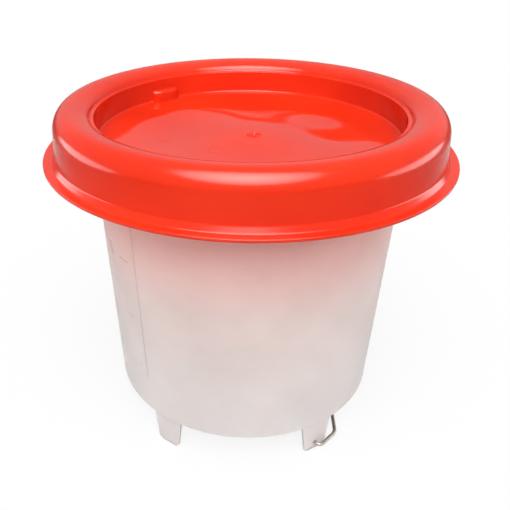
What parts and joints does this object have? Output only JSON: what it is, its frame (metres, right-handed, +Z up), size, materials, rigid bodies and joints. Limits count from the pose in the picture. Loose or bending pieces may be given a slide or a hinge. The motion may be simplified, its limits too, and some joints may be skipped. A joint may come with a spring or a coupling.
{
  "type": "poultry drinker",
  "caption": "Siphon poultry drinker stood on its feet for filling: milky tapered reservoir, red bayonet drinking tray and folding wire bail.",
  "frame": {"origin": "under the axis of the reservoir, on the plane of the feet's tips", "axes": "+Z up along the axis from the feet to the upturned tray, -Y towards the viewer of the picture"},
  "size_m": [0.3004, 0.3004, 0.2547],
  "materials": {
    "reservoir": "natural milky polypropylene, satin, slightly see-through",
    "tray": "glossy red moulded polypropylene",
    "wire": "plain drawn steel wire"
  },
  "bodies": {
    "reservoir": {"reservoir": "reservoir"},
    "tray": {"drinking_tray": "tray"},
    "bail": {"bail_handle": "wire"}
  },
  "joints": [
    {"name": "tray_twist", "type": "hinge", "parent": "reservoir", "child": "tray", "pos_m": [0, 0, 0.2273], "axis": [0, 0, 1], "range_deg": [0, 18]},
    {"name": "bail_swing", "type": "hinge", "parent": "reservoir", "child": "bail", "pos_m": [0, 0, 0.0068], "axis": [0.5592, -0.829, 0], "range_deg": [-191, 20]}
  ]
}
